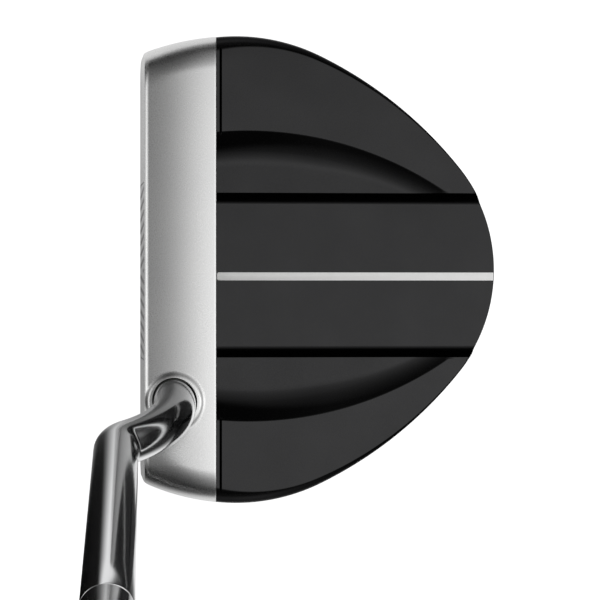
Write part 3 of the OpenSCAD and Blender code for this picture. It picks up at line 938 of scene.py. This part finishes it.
def painted_floor_reflection(tree):
    """Painted reflection that polished parts see of the floor: painted shade near the head, standing in for
    flags around it, a painted shadow of the head in front of its face, and bright far away.
    """
    x, y, _ = axes_of(tree, "ShaderNodeNewGeometry", "Position")
    slant = maths(tree, "MULTIPLY_ADD", maths(tree, "MAXIMUM", y, 0), 0.45, x)
    # painted shade: the reflection darkens towards the head from the front, behind and the sides
    in_front = gradient(tree, slant, -0.1, -0.02, [
        (-0.09, 0.004), (-0.075, 0.012), (-0.066, 0.13), (-0.06, 0.26), (-0.05, 0.5), (-0.04, 0.75),
        (-0.03, 0.95)])
    behind = gradient(tree, x, -0.04, 0.06, [(-0.01, 1.0), (0.02, 0.33), (0.055, 0.03)])
    skew = maths(tree, "MULTIPLY_ADD", x, 1.2, y)
    sideways = gradient(tree, skew, -0.25, 0.15, [
        (-0.25, 0.06), (-0.175, 0.2), (-0.138, 0.7), (-0.118, 1), (0.09, 1), (0.11, 0.6), (0.135, 0.25),
        (0.15, 0.1)])
    # painted shadow of the head on the floor just in front of its face: the reflection is halved there
    painted_head_shadow = maths(tree, "MULTIPLY",
                  gradient(tree, x, -0.06, 0, [(-0.05, 0.0), (-0.045, 1.0)]),
                  gradient(tree, y, -0.08, 0.08, [(-0.06, 0.0), (-0.045, 1.0), (0.045, 1.0), (0.06, 0.0)]))
    near = maths(tree, "MULTIPLY", maths(tree, "MULTIPLY", in_front, behind), sideways)
    near = maths(tree, "MULTIPLY", near, ramp(tree, painted_head_shadow, [(0, 1.0), (1, 0.5)]))
    ahead = gradient(tree, x, -1.5, 1.5, [
        (-1.4, 0.9), (-0.8, 0.75), (-0.35, 0.0), (0.35, 0.0), (0.8, 0.75), (1.4, 0.9)])
    beyond = gradient(tree, y, -1.5, 1.5, [
        (-1.4, 0.35), (-0.8, 0.25), (-0.45, 0.0), (0.45, 0.0), (0.8, 0.25), (1.4, 0.35)])
    return maths(tree, "ADD", near, maths(tree, "ADD", ahead, beyond))


def build_floor():
    """Pale floor for the camera and for matt surfaces, with a painted reflection for polished ones: an
    emission that only glossy rays see.
    """
    bm = bmesh.new()
    bmesh.ops.create_grid(bm, x_segments=8, y_segments=8, size=15)
    floor = finish_mesh("studio_floor", bm, 30)
    floor.location.z = -0.0003
    material = bpy.data.materials.new("studio_floor")
    tree = empty_tree(material)
    # painted reflection: emission that glossy rays see in place of the floor
    painted_reflection = add(tree, "ShaderNodeEmission", Strength=1.0)
    tree.links.new(painted_floor_reflection(tree), painted_reflection.inputs["Color"])
    matt = add(tree, "ShaderNodeBsdfDiffuse", Color=(0.6, 0.6, 0.6, 1))
    glow = add(tree, "ShaderNodeEmission", Color=(1, 1, 1, 1), Strength=0.85)
    pale = tree.nodes.new("ShaderNodeAddShader")
    tree.links.new(matt.outputs[0], pale.inputs[0])
    tree.links.new(glow.outputs[0], pale.inputs[1])
    output = tree.nodes.new("ShaderNodeOutputMaterial")
    tree.links.new(by_ray(tree, "Is Glossy Ray", pale.outputs[0], painted_reflection.outputs[0]), output.inputs["Surface"])
    floor.data.materials.append(material)


def build_world():
    """Soft studio surround: a bright ceiling for polished parts, an even fill and a white backdrop."""
    world = bpy.data.worlds.new("studio")
    bpy.context.scene.world = world
    world.cycles.sampling_method = "NONE"
    tree = empty_tree(world)
    x, y, z = axes_of(tree, "ShaderNodeTexCoord", "Generated")
    along = gradient(tree, x, -1, 1, [
        (-1, 2.2), (-0.93, 1.6), (-0.8, 0.75), (-0.6, 0.3), (-0.45, 0.11), (-0.36, 0.12), (-0.28, 0.15),
        (-0.2, 0.27), (-0.12, 0.62), (-0.05, 0.8), (0.05, 0.88), (0.3, 0.95), (0.6, 1.1), (0.8, 0.6),
        (0.9, 0.08), (1, 0.03)])
    across = gradient(tree, y, -1, 1, [
        (-1, 0.11), (-0.8, 0.15), (-0.62, 0.24), (-0.4, 0.43), (-0.2, 0.65), (-0.08, 0.83), (-0.03, 1),
        (0, 1), (0.05, 0.82), (0.09, 0.6), (0.2, 0.46), (0.4, 0.36), (0.62, 0.25), (0.8, 0.17), (1, 0.14)])
    up = gradient(tree, z, 0, 1, [(0, 0.1), (0.2, 0.14), (0.35, 0.5), (0.5, 1), (1, 1)])
    sky = add(tree, "ShaderNodeBackground", Strength=2.1)
    tree.links.new(maths(tree, "MULTIPLY", maths(tree, "MULTIPLY", along, across), up), sky.inputs["Color"])
    fill = add(tree, "ShaderNodeBackground", Color=(1, 1, 1, 1), Strength=0.5)
    backdrop = add(tree, "ShaderNodeBackground", Color=(1, 1, 1, 1), Strength=1.2)
    around = by_ray(tree, "Is Glossy Ray", fill.outputs[0], sky.outputs[0])
    output = tree.nodes.new("ShaderNodeOutputWorld")
    tree.links.new(by_ray(tree, "Is Camera Ray", around, backdrop.outputs[0]), output.inputs["Surface"])


def build_lights():
    """One soft lamp behind the head, which matt surfaces see and polished ones don't."""
    lamp = bpy.data.lights.new("rear_softbox", "AREA")
    lamp.shape = "DISK"
    lamp.size = 0.12
    lamp.energy = 0.12
    holder = bpy.data.objects.new("rear_softbox", lamp)
    holder.location = (0.13, 0.0, 0.17)
    holder.rotation_euler = (Vector((0, 0, 0.018)) - holder.location).to_track_quat("-Z", "Y").to_euler()
    holder.visible_glossy = False
    bpy.context.scene.collection.objects.link(holder)


def build_camera():
    """Above the head, as the golfer sees it."""
    lens = bpy.data.cameras.new("address_view")
    lens.lens = 121.94
    lens.sensor_width = 36
    lens.clip_start = 0.005
    lens.clip_end = 50
    camera = bpy.data.objects.new("address_view", lens)
    camera.location = (-0.035, -0.005357, 0.47807)
    camera.rotation_euler = (0, -0.066, 0)
    bpy.context.scene.collection.objects.link(camera)
    bpy.context.scene.camera = camera


# ---------------------------------------------------------------- assembly

def paint(piece, material):
    """Gives a piece this material and no other."""
    piece.data.materials.clear()
    piece.data.materials.append(material)


def main():
    materials = make_materials()
    pieces = [build_front_block(), build_rear_body(), build_face_insert(), build_sight_line(),
              build_hosel(), build_shaft(), build_grip(), build_grip_cap()]
    for piece in pieces:
        paint(piece, materials[piece["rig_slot"]])
    slots = {row["node"]: row["material_slot"] for row in frame["record"]["subparts"]}
    for name, node in frame["nodes"].items():
        if not node.hide_render:
            paint(node, materials[slots[name]])
    build_floor()
    build_world()
    build_lights()
    build_camera()
    scene = bpy.context.scene
    scene.view_settings.view_transform = "Standard"


main()
